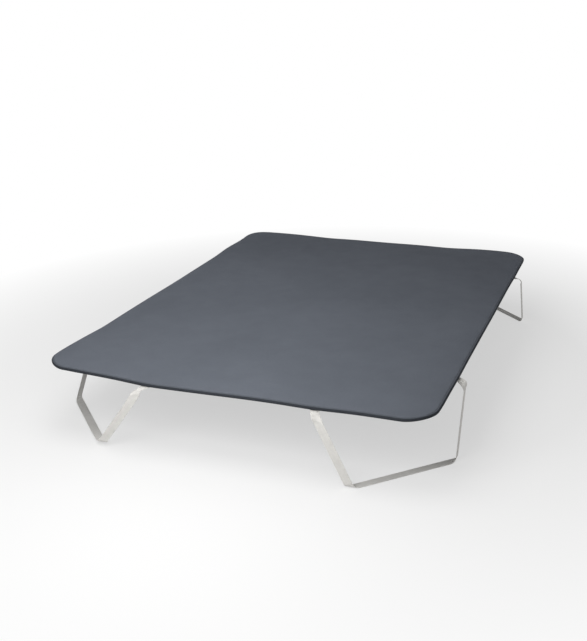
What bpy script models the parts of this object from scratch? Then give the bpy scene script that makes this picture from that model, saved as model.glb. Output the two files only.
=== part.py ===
"""A queen-size grounding mat with its four corner straps drawn tight, in metres, +Z up.

A foam sheet lies in a carbon-loaded leatherette skin. The skin rolls over the sheet's edge and
is turned under as a hem, which frames a non-slip panel. One elastic strap crosses each corner:
its two ends are sewn under the hem on square patches, and between them it bends over a rounded
shoulder, runs down at a slant and passes under the corner. A press stud for the earth lead is
set through the hem near one head corner. The origin is the middle of the underside, +Y points
to the head end and +X to the right, seen from the foot end.
"""

import math
from collections import namedtuple

import bmesh
import bpy
from mathutils import Vector

# The mat
MAT_WIDTH = 1.524
MAT_LENGTH = 2.032
MAT_THICKNESS = 0.012
CORNER_RADIUS = 0.110
SKIN_THICKNESS = 0.0010
PANEL_THICKNESS = 0.0012
HEM_WIDTH = 0.060
FIT_GAP = 0.0003

# The rolled edge: how far in the roll starts on top and ends below, and its widest line's height
TOP_ROLL = 0.010
UNDER_ROLL = 0.005
EDGE_HEIGHT = 0.005

# The straps
STRAP_WIDTH = 0.032
STRAP_THICKNESS = 0.0012
STRAP_DEPTH = 0.260
STRAP_OVERHANG = 0.025
SHOULDER_DROP = 0.028
BASE_RADIUS = 0.014
LEFT_STRAP_ROOT = 0.470
RIGHT_STRAP_ROOT = 0.403
STRAP_FOOT = 0.268
SEWN_DEPTH = 0.042
HINGE_TURN = math.radians(37)

# The patches under the sewn ends
PATCH_LENGTH = 0.084
PATCH_DEPTH = 0.050
PATCH_THICKNESS = 0.0008
PATCH_CORNER = 0.006
PATCH_INSET = 0.007

# The press stud
STUD_FROM_HEAD = 0.150
STUD_FROM_SIDE = 0.017
STUD_BASE_RADIUS = 0.0060
STUD_BASE_THICKNESS = 0.0008
STUD_NECK_RADIUS = 0.0034
STUD_BALL_RADIUS = 0.0039
STUD_TIP_RADIUS = 0.0026
STUD_HEIGHT = 0.0046
POST_RADIUS = 0.0018
POST_LENGTH_BELOW = 0.0030
POST_FLANGE_RADIUS = 0.0060
POST_FLANGE_THICKNESS = 0.0006
WASHER_RADIUS = 0.0066
WASHER_THICKNESS = 0.0006

# Facets
CORNER_STEPS = 12
ROLL_STEPS = 5
HINGE_STEPS = 4
SHOULDER_STEPS = 6
FACE_STEPS = 4
BASE_STEPS = 6
UNDER_STEPS = 4
NOSE_TURNS = [math.radians(turn) for turn in (35, 65, 80)]
PATCH_STEPS = 4
TURNED_STEPS = 24
SHADE_ANGLE = math.radians(35)

CORE_OFFSET = max(SKIN_THICKNESS, PANEL_THICKNESS) + FIT_GAP
SEWN_HEIGHT = -(FIT_GAP + PATCH_THICKNESS + FIT_GAP + STRAP_THICKNESS / 2)
SHOULDER_REACH = UNDER_ROLL + STRAP_OVERHANG
SHOULDER_FOOT = SEWN_HEIGHT - SHOULDER_DROP
HINGE_ACROSS = math.radians(45)

LEATHERETTE = {"color": (0.120, 0.132, 0.155, 1), "roughness": 0.50, "metallic": 0.0}
FOAM = {"color": (0.30, 0.31, 0.33, 1), "roughness": 0.95, "metallic": 0.0}
GRIP_CLOTH = {"color": (0.060, 0.062, 0.067, 1), "roughness": 0.90, "metallic": 0.0}
ELASTIC = {"color": (0.82, 0.805, 0.77, 1), "roughness": 0.80, "metallic": 0.0}
NICKEL = {"color": (0.62, 0.60, 0.57, 1), "roughness": 0.30, "metallic": 1.0}
FIBRE = {"color": (0.10, 0.08, 0.07, 1), "roughness": 0.85, "metallic": 0.0}

Corner = namedtuple("Corner", "name x_sign y_sign root")
Station = namedtuple("Station", "along out z ring_turn")

CORNERS = [
    Corner("foot_left", -1, -1, LEFT_STRAP_ROOT),
    Corner("foot_right", 1, -1, RIGHT_STRAP_ROOT),
    Corner("head_left", -1, 1, LEFT_STRAP_ROOT),
    Corner("head_right", 1, 1, RIGHT_STRAP_ROOT),
]


def clear_scene():
    for found in list(bpy.data.objects):
        bpy.data.objects.remove(found, do_unlink=True)


def make_material(name, look):
    material = bpy.data.materials.new(name)
    material.use_nodes = True
    shader = material.node_tree.nodes["Principled BSDF"]
    shader.inputs["Base Color"].default_value = look["color"]
    shader.inputs["Roughness"].default_value = look["roughness"]
    shader.inputs["Metallic"].default_value = look["metallic"]
    material.diffuse_color = look["color"]
    return material


def make_empty(name, place):
    empty = bpy.data.objects.new(name, None)
    empty.location = place
    bpy.context.collection.objects.link(empty)
    return empty


def loft(name, rings, look, parent):
    """One closed solid through rings of equally many points, capped at both ends."""
    origin = Vector(parent.location)
    mesh = bpy.data.meshes.new(name)
    shape = bmesh.new()
    levels = [[shape.verts.new(Vector(point) - origin) for point in ring] for ring in rings]
    count = len(levels[0])
    for low, high in zip(levels, levels[1:]):
        for here in range(count):
            there = (here + 1) % count
            shape.faces.new((low[here], low[there], high[there], high[here]))
    shape.faces.new(levels[0])
    shape.faces.new(levels[-1])
    bmesh.ops.recalc_face_normals(shape, faces=shape.faces)
    shape.to_mesh(mesh)
    shape.free()
    mesh.shade_smooth()
    mesh.set_sharp_from_angle(angle=SHADE_ANGLE)
    made = bpy.data.objects.new(name, mesh)
    made.parent = parent
    mesh.materials.append(make_material(name, look))
    bpy.context.collection.objects.link(made)
    return made


def cut(target, cutter):
    """Takes the cutter out of the target, and keeps it as a wire guide."""
    boolean = target.modifiers.new(cutter.name, "BOOLEAN")
    boolean.operation = "DIFFERENCE"
    boolean.object = cutter
    cutter.hide_render = True
    cutter.display_type = "WIRE"


def rounded_rectangle(width, length, radius, steps, z=0.0, middle=(0.0, 0.0)):
    """A ring of points round a rectangle, its corners quarter circles."""
    ring = []
    for quarter, (x_sign, y_sign) in enumerate([(1, 1), (-1, 1), (-1, -1), (1, -1)]):
        centre_x = middle[0] + x_sign * (width / 2 - radius)
        centre_y = middle[1] + y_sign * (length / 2 - radius)
        for step in range(steps + 1):
            turn = math.radians(90) * (quarter + step / steps)
            ring.append((centre_x + radius * math.cos(turn), centre_y + radius * math.sin(turn), z))
    return ring


def mat_ring(inset, z):
    """The mat's outline, drawn in by the inset."""
    return rounded_rectangle(
        MAT_WIDTH - 2 * inset, MAT_LENGTH - 2 * inset, CORNER_RADIUS - inset, CORNER_STEPS, z
    )


def edge_roll(offset):
    """The edge's section as (inset, z), from the flat top round to the flat underside.

    It is two quarter ellipses that meet at the widest line, the whole drawn in by the offset.
    """
    section = []
    for step in range(ROLL_STEPS + 1):
        turn = math.radians(90) * (1 - step / ROLL_STEPS)
        inset = TOP_ROLL - (TOP_ROLL - offset) * math.cos(turn)
        z = EDGE_HEIGHT + (MAT_THICKNESS - EDGE_HEIGHT - offset) * math.sin(turn)
        section.append((inset, z))
    for step in range(1, ROLL_STEPS + 1):
        turn = math.radians(90) * step / ROLL_STEPS
        inset = UNDER_ROLL - (UNDER_ROLL - offset) * math.cos(turn)
        z = EDGE_HEIGHT - (EDGE_HEIGHT - offset) * math.sin(turn)
        section.append((inset, z))
    return section


def turned(name, profile, middle, look, parent):
    """A solid turned about a vertical axis, from (radius, z) points, with flat caps at the ends."""
    rings = []
    for radius, z in profile:
        ring = []
        for step in range(TURNED_STEPS):
            turn = math.radians(360) * step / TURNED_STEPS
            ring.append(
                (middle.x + radius * math.cos(turn), middle.y + radius * math.sin(turn), z)
            )
        rings.append(ring)
    return loft(name, rings, look, parent)


def top_skin(mat):
    """The leatherette sheet, rolled over the edge and turned under as the hem."""
    hem_edge = [(HEM_WIDTH, 0.0), (HEM_WIDTH, SKIN_THICKNESS)]
    section = edge_roll(0.0) + hem_edge + edge_roll(SKIN_THICKNESS)[::-1]
    return loft("top_skin", [mat_ring(inset, z) for inset, z in section], LEATHERETTE, mat)


def foam_core(mat):
    """The foam sheet that fills the skin."""
    section = edge_roll(CORE_OFFSET)
    return loft("foam_core", [mat_ring(inset, z) for inset, z in section], FOAM, mat)


def underside_panel(mat):
    """The non-slip cloth that the hem frames, flush with it below."""
    inset = HEM_WIDTH + FIT_GAP
    rings = [mat_ring(inset, 0.0), mat_ring(inset, PANEL_THICKNESS)]
    return loft("underside_panel", rings, GRIP_CLOTH, mat)


def press_stud(mat, skin, foam):
    """The stud, the post that it is riveted to through the hem, and the washer on the hem."""
    middle = Vector((STUD_FROM_SIDE - MAT_WIDTH / 2, MAT_LENGTH / 2 - STUD_FROM_HEAD, 0))
    bore = POST_RADIUS + FIT_GAP
    washer_low = SKIN_THICKNESS + FIT_GAP
    washer_high = washer_low + WASHER_THICKNESS
    flange_low = washer_high + FIT_GAP
    flange_high = flange_low + POST_FLANGE_THICKNESS
    base_low = -(FIT_GAP + STUD_BASE_THICKNESS)
    tip = -(FIT_GAP + STUD_HEIGHT)
    neck_end = (base_low + tip) / 2

    def guide(name, radius, low, high):
        return turned(name, [(radius, low), (radius, high)], middle, FIBRE, mat)

    cut(skin, guide("hem_hole", bore, -STUD_HEIGHT, flange_low))
    pocket = max(WASHER_RADIUS, POST_FLANGE_RADIUS) + FIT_GAP
    cut(foam, guide("foam_pocket", pocket, 0.0, flange_high + FIT_GAP))

    washer = turned(
        "snap_washer", [(WASHER_RADIUS, washer_low), (WASHER_RADIUS, washer_high)], middle, FIBRE, mat
    )
    cut(washer, guide("washer_hole", bore, 0.0, flange_high))

    post = [
        (POST_RADIUS, -POST_LENGTH_BELOW),
        (POST_RADIUS, flange_low),
        (POST_FLANGE_RADIUS, flange_low),
        (POST_FLANGE_RADIUS, flange_high),
    ]
    turned("snap_post", post, middle, NICKEL, mat)

    stud = [
        (bore, -FIT_GAP),
        (STUD_BASE_RADIUS, -FIT_GAP),
        (STUD_BASE_RADIUS, base_low),
        (STUD_NECK_RADIUS, base_low),
        (STUD_NECK_RADIUS, neck_end),
        (STUD_BALL_RADIUS, (neck_end + tip) / 2),
        (STUD_TIP_RADIUS, tip),
    ]
    floor = [(bore, -POST_LENGTH_BELOW - FIT_GAP)]
    turned("snap_stud", floor + stud, middle, NICKEL, mat)


def shoulder(turn):
    """A point (out, z) of the strap's bend over the shoulder, a quarter ellipse.

    The turn is 0 where the strap leaves the flat underside and 90 degrees where it is upright.
    """
    out = SHOULDER_REACH * math.sin(turn) - UNDER_ROLL
    return out, SEWN_HEIGHT - SHOULDER_DROP * (1 - math.cos(turn))


def base(turn):
    """A point (out, z) of the strap's bend from upright, at 0, to flat beneath, at 90 degrees."""
    out = STRAP_OVERHANG - BASE_RADIUS * (1 - math.cos(turn))
    return out, -STRAP_DEPTH + BASE_RADIUS * (1 - math.sin(turn))


def shares(steps):
    return [step / steps for step in range(1, steps + 1)]


def half_route(root):
    """Stations from the strap's sewn end to the middle of its run under the corner.

    Each gives the centre's distance along the edge from the corner, its distance out from the
    edge, its height, and the turn of the strap's cross line from the edge's own direction. The
    strap keeps one slant over the shoulder and down the face. Round the base the slant turns
    to the diagonal, and it crosses the corner's mirror plane square. The first list ends at
    the hinge and the second starts there.
    """
    upright = math.radians(90)
    sewn = [(-SEWN_DEPTH, SEWN_HEIGHT), shoulder(0.0)]
    to_hinge = [shoulder(HINGE_TURN * share) for share in shares(HINGE_STEPS)]
    to_face = [
        shoulder(HINGE_TURN + (upright - HINGE_TURN) * share) for share in shares(SHOULDER_STEPS)
    ]
    face_low = BASE_RADIUS - STRAP_DEPTH
    face = [
        (STRAP_OVERHANG, SHOULDER_FOOT + (face_low - SHOULDER_FOOT) * share)
        for share in shares(FACE_STEPS)
    ]
    bend = [base(upright * share) for share in shares(BASE_STEPS)]

    down = [sewn[-1]] + to_hinge + to_face + face
    fall = sum(math.dist(here, there) for here, there in zip(down, down[1:]))
    slant = (root - STRAP_FOOT) / fall

    def walk(along, points, start, end):
        """Adds the distance along the edge, as the slant goes from start to end."""
        places = []
        here = points[0]
        for share, there in zip(shares(len(points) - 1), points[1:]):
            along -= math.dist(here, there) * (start + (end - start) * share)
            places.append((along, there))
            here = there
        return places

    square = math.atan(slant)
    sewn_along = root + slant * (SEWN_DEPTH - UNDER_ROLL)
    fixed = [Station(sewn_along, *sewn[0], square), Station(root, *sewn[1], square)]
    for share, (along, point) in zip(
        shares(HINGE_STEPS), walk(root, [sewn[-1]] + to_hinge, slant, slant)
    ):
        fixed.append(Station(along, *point, square + (HINGE_ACROSS - square) * share))

    moving = [fixed[-1]]
    bending = walk(moving[-1].along, [to_hinge[-1]] + to_face, slant, slant)
    for share, (along, point) in zip(shares(SHOULDER_STEPS), bending):
        moving.append(Station(along, *point, HINGE_ACROSS * (1 - share)))
    for along, point in walk(moving[-1].along, [to_face[-1]] + face, slant, slant):
        moving.append(Station(along, *point, 0.0))
    for along, point in walk(moving[-1].along, [face[-1]] + bend, slant, 1.0):
        moving.append(Station(along, *point, 0.0))
    last = moving[-1]
    to_mirror = (last.along + last.out) / 2
    for share in shares(UNDER_STEPS):
        moving.append(
            Station(
                last.along - to_mirror * share,
                last.out - to_mirror * share,
                last.z,
                -HINGE_ACROSS * share,
            )
        )
    return fixed, moving


def centre_of(station):
    return Vector((station.along, -station.out, station.z))


def cross_line(station):
    return Vector((-math.cos(station.ring_turn), math.sin(station.ring_turn), 0))


def band_ring(centre, across, heading, thickness):
    """The four corners of the strap's section, its width measured square to its heading."""
    normal = across.cross(heading)
    half = across * (STRAP_WIDTH / 2 / normal.length)
    lift = normal.normalized() * (thickness / 2)
    return [centre - half - lift, centre + half - lift, centre + half + lift, centre - half + lift]


def band_rings(stations, before, after):
    """Sections at the stations. before and after are the neighbours past the two ends."""
    centres = [centre_of(station) for station in [before] + stations + [after]]
    rings = []
    for station, back, front in zip(stations, centres, centres[2:]):
        heading = (front - back).normalized()
        rings.append(band_ring(centre_of(station), cross_line(station), heading, STRAP_THICKNESS))
    return rings


def nose(station, heading, forward):
    """Rings that round the strap's end off about its cross line, on the forward side."""
    across = cross_line(station)
    square = (heading - across * heading.dot(across)).normalized() * forward
    rings = []
    for turn in NOSE_TURNS:
        centre = centre_of(station) + square * (STRAP_THICKNESS / 2 * math.sin(turn))
        rings.append(band_ring(centre, across, heading, STRAP_THICKNESS * math.cos(turn)))
    return rings


def heading_between(back, front):
    return (centre_of(front) - centre_of(back)).normalized()


def tab_rings(fixed, moving):
    """The sewn end, which stops short of the hinge line in a rounded nose."""
    heading = heading_between(fixed[-2], moving[1])
    across = cross_line(fixed[-1])
    square = (heading - across * heading.dot(across)).normalized()
    stop = centre_of(fixed[-1]) - square * (STRAP_THICKNESS + FIT_GAP)
    end = Station(stop.x, -stop.y, stop.z, fixed[-1].ring_turn)
    body = band_rings(fixed[:-1], fixed[0], fixed[-1])
    body.append(band_ring(stop, across, heading, STRAP_THICKNESS))
    return body + nose(end, heading, 1)


def strap_rings(fixed, moving):
    """The free strap, whose two rounded ends lie on the hinge line."""
    heading = heading_between(fixed[-2], moving[1])
    first = nose(moving[0], heading, -1)[::-1]
    half = first + band_rings(moving, fixed[-2], moving[-1])
    other = [[Vector((point.y, point.x, point.z)) for point in ring] for ring in half[:-1]]
    return half + other[::-1]


def at_corner(corner, point):
    """Takes a point from the corner's own frame, (along, in, up), to the mat's."""
    return Vector(
        (
            corner.x_sign * (MAT_WIDTH / 2 - point.x),
            corner.y_sign * (MAT_LENGTH / 2 - point.y),
            point.z,
        )
    )


def mirrored(point):
    return Vector((point.y, point.x, point.z))


def patch(name, middle, along_end, mat):
    """A flat leatherette patch, its long side along the mat's edge."""
    width, length = (PATCH_LENGTH, PATCH_DEPTH) if along_end else (PATCH_DEPTH, PATCH_LENGTH)
    rings = [
        rounded_rectangle(width, length, PATCH_CORNER, PATCH_STEPS, z, middle)
        for z in (-(FIT_GAP + PATCH_THICKNESS), -FIT_GAP)
    ]
    loft(name, rings, LEATHERETTE, mat)


def corner_strap(corner, mat):
    """One corner's strap on its hinge line, with its two sewn ends and their patches."""
    fixed, moving = half_route(corner.root)
    hinge = centre_of(moving[0])
    pivot = at_corner(corner, (hinge + mirrored(hinge)) / 2)
    line = make_empty(corner.name + "_hinge_line", pivot)

    rings = [[at_corner(corner, point) for point in ring] for ring in strap_rings(fixed, moving)]
    loft(corner.name + "_strap", rings, ELASTIC, line)

    tab = tab_rings(fixed, moving)
    side_tab = [[mirrored(point) for point in ring] for ring in tab]
    run = (PATCH_INSET + PATCH_DEPTH / 2 - UNDER_ROLL) / (SEWN_DEPTH - UNDER_ROLL)
    patch_along = fixed[1].along + (fixed[0].along - fixed[1].along) * run
    middle = Vector((patch_along, PATCH_INSET + PATCH_DEPTH / 2, 0))
    for edge, shape, place in (("end", tab, middle), ("side", side_tab, mirrored(middle))):
        placed = [[at_corner(corner, point) for point in ring] for ring in shape]
        loft(f"{corner.name}_{edge}_tab", placed, ELASTIC, mat)
        patch(f"{corner.name}_{edge}_patch", at_corner(corner, place), edge == "end", mat)


def main():
    clear_scene()
    mat = make_empty("mat", (0, 0, 0))
    skin = top_skin(mat)
    foam = foam_core(mat)
    underside_panel(mat)
    press_stud(mat, skin, foam)
    for corner in CORNERS:
        corner_strap(corner, mat)


main()
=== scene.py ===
"""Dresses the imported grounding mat: padded cover, seam, grip cloth, straps, patches and stud.

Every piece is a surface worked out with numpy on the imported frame's sizes. Lengths are in metres,
+Y points to the head end, +X to the right seen from the foot end, and the flat underside is z 0.
"""

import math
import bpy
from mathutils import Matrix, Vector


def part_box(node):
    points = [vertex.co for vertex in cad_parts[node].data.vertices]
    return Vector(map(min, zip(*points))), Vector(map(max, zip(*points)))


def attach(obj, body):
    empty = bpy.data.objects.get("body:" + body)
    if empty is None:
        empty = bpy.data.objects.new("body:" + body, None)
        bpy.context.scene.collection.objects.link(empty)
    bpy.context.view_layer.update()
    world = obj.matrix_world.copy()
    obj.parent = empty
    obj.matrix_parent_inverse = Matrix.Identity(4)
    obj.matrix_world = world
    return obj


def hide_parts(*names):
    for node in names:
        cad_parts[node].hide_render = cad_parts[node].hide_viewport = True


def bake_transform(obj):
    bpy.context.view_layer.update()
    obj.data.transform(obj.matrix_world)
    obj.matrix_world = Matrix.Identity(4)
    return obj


bl_info = {
    "name": "Grounding Mat",
    "version": (1, 0, 0),
    "blender": (4, 5, 0),
    "location": "View3D > Sidebar > Grounding Mat",
    "description": "Builds the cover, seam, straps, patches and stud of a grounding mat",
    "category": "Object",
}

import bpy
import numpy as np
from bpy.props import FloatProperty, FloatVectorProperty, IntProperty, PointerProperty
from mathutils import Matrix

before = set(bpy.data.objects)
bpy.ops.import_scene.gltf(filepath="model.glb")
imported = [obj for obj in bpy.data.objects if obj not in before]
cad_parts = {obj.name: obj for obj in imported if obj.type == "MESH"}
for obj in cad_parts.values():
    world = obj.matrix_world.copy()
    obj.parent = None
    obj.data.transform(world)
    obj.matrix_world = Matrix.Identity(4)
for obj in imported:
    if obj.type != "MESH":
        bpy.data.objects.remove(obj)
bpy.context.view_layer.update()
SKIN_LOW, SKIN_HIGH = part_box("top_skin")
PANEL_LOW, PANEL_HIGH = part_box("underside_panel")
PATCH_LOW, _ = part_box("foot_left_end_patch")
STUD_LOW, STUD_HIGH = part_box("snap_stud")

CORNERS = {"foot_left": (-1, -1), "foot_right": (1, -1), "head_left": (-1, 1), "head_right": (1, 1)}


# Settings


def length(name, description, default):
    return FloatProperty(
        name=name, description=description, default=default, min=0.0, unit="LENGTH", precision=4
    )


def share(name, description, default):
    return FloatProperty(name=name, description=description, default=default, min=0.0, max=1.0)


def power(name, description, default):
    return FloatProperty(
        name=name, description=description, default=default, min=0.0, unit="POWER"
    )


def colour(name, description, default):
    return FloatVectorProperty(
        name=name, description=description, default=default, size=3, min=0.0, max=1.0,
        subtype="COLOR",
    )


class MatPadSettings(bpy.types.PropertyGroup):
    width: length("Width", "From one long edge to the other", SKIN_HIGH.x - SKIN_LOW.x)
    length: length("Length", "From the foot edge to the head edge", SKIN_HIGH.y - SKIN_LOW.y)
    thickness: length("Thickness", "Of the padded sheet", SKIN_HIGH.z - SKIN_LOW.z)
    corner_radius: length("Corner radius", "Of the mat's outline", 0.110)
    top_roll: length("Top roll", "How far in the edge starts to round over", 0.010)
    under_roll: length("Under roll", "How far in the edge comes flat below", 0.005)
    edge_height: length("Edge height", "Height of the outline's widest line", 0.005)
    hem_width: length("Hem width", "Width of the skin turned under", 0.060)
    crown: length("Crown", "How far the middle stands above the edges where it lies", 0.0080)
    edge_fall: length("Edge fall", "How far the last few centimetres bend down", 0.0030)
    wave_height: length("Wave height", "How far the top rises and falls where it lies", 0.0011)
    corner_pull: length("Corner pull", "How far the foot-left corner lies drawn in", 0.015)
    corner_lift: length("Corner lift", "How far the foot-left corner lies raised", 0.016)
    head_rise: length("Head rise", "How far the head edge rises left of its middle", 0.0110)
    head_fall: length("Head fall", "How far the head edge falls on the right", 0.0050)
    root_droop: length("Droop", "How far the straps draw the edge down", 0.0030)
    strap_lift: length("Strap lift", "How far the foot-left strap's low run lies raised", 0.0140)
    strap_bow: length("Strap bow", "How far the foot-left strap's face run bows inwards", 0.0065)
    leather: colour("Leatherette", "Colour of the skin", (0.120, 0.132, 0.155))
    # The rolled edge's colour is darkened to this share of the top's as painted shade.
    edge_painted_shade: share("Edge tone", "Tone of the rolled edge against the top", 0.28)
    hem_tone: share("Hem tone", "Tone of the hem and the patches against the top", 0.75)
    grip_cloth: colour("Grip cloth", "Colour of the non-slip cloth", (0.060, 0.062, 0.067))
    grip_dot: colour("Grip dots", "Colour of the non-slip dots", (0.150, 0.155, 0.165))
    dot_pitch: length("Dot pitch", "Distance between the grip dots", 0.026)
    dot_radius: length("Dot radius", "Of one grip dot", 0.0024)


class SeamSettings(bpy.types.PropertyGroup):
    inset: length("Inset", "Distance of the edge seam from the outline", 0.0092)
    depth: length("Depth", "How deep the edge seam draws in", 0.0008)
    pitch: length("Stitch pitch", "Distance from one stitch to the next", 0.0045)
    stitch: length("Stitch length", "Length of one stitch that shows", 0.0036)
    thread: length("Thread", "Thickness of the thread", 0.0005)
    thread_colour: colour("Thread colour", "Of the mat's own seams", (0.160, 0.165, 0.175))


class StrapSettings(bpy.types.PropertyGroup):
    width: length("Width", "Of the elastic", 0.032)
    thickness: length("Thickness", "Of the elastic", 0.0012)
    depth: length("Depth", "From the mat's underside to the run beneath the corner", 0.260)
    overhang: length("Overhang", "How far the strap stands out past the mat's edge", 0.025)
    shoulder_drop: length("Shoulder drop", "Height of the bend at the top", 0.028)
    base_radius: length("Base radius", "Of the bend at the bottom", 0.014)
    left_root: length("Left root", "From the corner to a left strap's root", 0.470)
    right_root: length("Right root", "From the corner to a right strap's root", 0.403)
    foot: length("Foot", "From the corner to where the strap reaches its base", 0.268)
    sewn_depth: length("Sewn depth", "How far in from the edge a sewn end reaches", 0.042)
    hinge_turn: FloatProperty(
        name="Hinge turn", description="Where on the shoulder the strap starts to swing",
        default=math.radians(37), min=0.0, subtype="ANGLE",
    )
    ribs: IntProperty(name="Ribs", description="Woven ribs across the strap", default=11, min=1)
    elastic: colour("Elastic", "Colour of the straps", (0.82, 0.805, 0.77))
    thread_colour: colour("Thread colour", "Of the straps' stitches", (0.58, 0.585, 0.565))
    patch_corner: length("Patch corner", "Corner radius of a patch", 0.006)


class StudSettings(bpy.types.PropertyGroup):
    nickel: colour("Nickel", "Colour of the press stud", (0.62, 0.60, 0.57))
    fibre: colour("Fibre", "Colour of the washer", (0.10, 0.08, 0.07))
    steps: IntProperty(name="Facets", description="Facets round the stud", default=48, min=12)


class StageSettings(bpy.types.PropertyGroup):
    lens: FloatProperty(
        name="Lens", description="Focal length", default=52.54, min=1.0, unit="CAMERA"
    )
    camera_place: FloatVectorProperty(
        name="Camera", description="Where the camera stands", size=3, subtype="TRANSLATION",
        default=(1.38177, -3.65724, 1.36230),
    )
    floor_colour: colour("Floor", "Colour of the floor", (0.82, 0.82, 0.815))
    floor_drop: length("Floor drop", "From the mat's underside to the floor", 0.2620)
    floor_glow: share("Floor glow", "Share of white in the floor as it is seen near the mat", 0.55)
    world_light: share("World light", "Strength of the even light", 0.255)
    key_power: power("Key light", "Of the lamp before the foot end", 13.8)
    top_power: power("Top light", "Of the lamp above the foot half", 12.6)
    side_power: power("Side light", "Of the lamp above the left edge", 2.7)
    fill_power: power("Fill light", "Which the four low lamps share out between them", 22.0)


# Meshes from arrays


def add_piece(name, points, faces, finish, uv=None, tone=None):
    """Makes one smooth mesh object from an (n, 3) array and a list of (m, k) face arrays.

    uv holds one pair for each point, and tone one number.
    """
    corners = np.concatenate([face.ravel() for face in faces])
    counts = np.concatenate([np.full(len(face), face.shape[1]) for face in faces])
    mesh = bpy.data.meshes.new(name)
    mesh.vertices.add(len(points))
    mesh.vertices.foreach_set("co", np.ascontiguousarray(points, np.float32).ravel())
    mesh.loops.add(len(corners))
    mesh.loops.foreach_set("vertex_index", corners.astype(np.int32))
    mesh.polygons.add(len(counts))
    mesh.polygons.foreach_set("loop_start", (np.cumsum(counts) - counts).astype(np.int32))
    if uv is not None:
        layer = mesh.uv_layers.new(name="cloth")
        layer.data.foreach_set("uv", uv[corners].astype(np.float32).ravel())
    mesh.update(calc_edges=True)
    if tone is not None:
        layer = mesh.attributes.new("tone", "FLOAT", "POINT")
        layer.data.foreach_set("value", np.ascontiguousarray(tone, np.float32))
    mesh.validate()
    mesh.shade_smooth()
    mesh.materials.append(finish)
    piece = bpy.data.objects.new(name, mesh)
    bpy.context.scene.collection.objects.link(piece)
    return piece


def grid_quads(rows, columns, first=0, flip=False):
    """Quads between the neighbouring points of a grid that is numbered row by row."""
    index = first + np.arange(rows * columns).reshape(rows, columns)
    quads = np.stack([index[:-1, :-1], index[:-1, 1:], index[1:, 1:], index[1:, :-1]], -1)
    quads = quads.reshape(-1, 4)
    return quads[:, ::-1] if flip else quads


def ring_quads(low, high):
    """Quads between two closed rings of point numbers, or a stack of rings in the first axis."""
    after_low, after_high = np.roll(low, -1, -1), np.roll(high, -1, -1)
    return np.stack([low, after_low, after_high, high], -1).reshape(-1, 4)


def rim_of(rows, columns):
    """Point numbers round the outside of a grid, anticlockwise from its first corner."""
    index = np.arange(rows * columns).reshape(rows, columns)
    return np.concatenate(
        [index[0, :-1], index[:-1, -1], index[-1, :0:-1], index[:0:-1, 0]]
    )


def grid_line(corner_steps, middle_steps):
    """(middle, corner) places along one side: the middle runs from -1 to 1 between the corner
    blocks, and the corner place runs from -1 to 0 in the first block and 0 to 1 in the last.
    """
    ramp = np.arange(corner_steps) / corner_steps
    middle = np.concatenate(
        [-np.ones(corner_steps), np.linspace(-1, 1, middle_steps + 1), np.ones(corner_steps)]
    )
    corner = np.concatenate([ramp - 1, np.zeros(middle_steps + 1), 1 - ramp[::-1]])
    return middle, corner


def rounded_grid(outline, inset, lines):
    """An (n, m, 2) grid of places that fills a rounded rectangle drawn in by the inset.

    The outline is a width, a length and a corner radius. Lines in the middle blocks are
    straight. In a corner block, a place (a, b) of the unit square goes to the quarter disc at
    distance max(a, b) and angle 45 degrees times the ratio of the smaller to the larger, so the
    block's outside becomes the corner's arc.
    """
    width, length, radius = outline
    (middle_x, corner_x), (middle_y, corner_y) = lines
    a, b = np.meshgrid(corner_x, corner_y)
    far = np.maximum(np.abs(a), np.abs(b))
    near = np.minimum(np.abs(a), np.abs(b))
    turn = math.pi / 4 * near / np.maximum(far, 1e-12)
    turn = np.where(np.abs(a) >= np.abs(b), turn, math.pi / 2 - turn)
    reach = (radius - inset) * far
    x = (width / 2 - radius) * middle_x[None, :] + reach * np.cos(turn) * np.sign(a)
    y = (length / 2 - radius) * middle_y[:, None] + reach * np.sin(turn) * np.sign(b)
    return np.stack([x, y], -1)


def outline_path(outline, inset, lines, z):
    """Points round a rounded rectangle drawn in by the inset, at one height."""
    places = rounded_grid(outline, inset, lines)
    places = places.reshape(-1, 2)[rim_of(*places.shape[:2])]
    return np.column_stack([places, np.full(len(places), z)])


def pad_shell(outline, section, lines):
    """A closed shell: a flat grid, rings through the section's (inset, z), and a flat grid below.

    Each ring is the outline drawn in by its inset, so its points lie square to the outline.
    """
    rows, columns = len(lines[1][0]), len(lines[0][0])
    rim, each = rim_of(rows, columns), rows * columns
    parts = []
    for inset, z in (section[0], section[-1]):
        places = rounded_grid(outline, inset, lines).reshape(-1, 2)
        parts.append(np.column_stack([places, np.full(each, z)]))
    parts += [outline_path(outline, inset, lines, z) for inset, z in section[1:-1]]
    rings = 2 * each + np.arange((len(section) - 2) * len(rim)).reshape(-1, len(rim))
    levels = np.vstack([rim, rings, each + rim])
    faces = [
        grid_quads(rows, columns),
        grid_quads(rows, columns, each, flip=True),
        ring_quads(levels[1:], levels[:-1]),
    ]
    return np.concatenate(parts), np.concatenate(faces)


def even_walk(path, pitch, closed):
    """Middles and unit directions of evenly spaced steps, close to the pitch, along a path."""
    if closed:
        path = np.vstack([path, path[:1]])
    run = np.concatenate([[0], np.cumsum(np.linalg.norm(np.diff(path, axis=0), axis=1))])
    count = max(1, int(round(run[-1] / pitch)))
    middles = (np.arange(count) + 0.5) * run[-1] / count
    step = run[-1] / count * 0.3

    def at(distance):
        return np.stack([np.interp(distance, run, path[:, axis]) for axis in range(3)], -1)

    heading = at(np.clip(middles + step, 0, run[-1])) - at(np.clip(middles - step, 0, run[-1]))
    return at(middles), heading / np.linalg.norm(heading, axis=1, keepdims=True)


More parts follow.
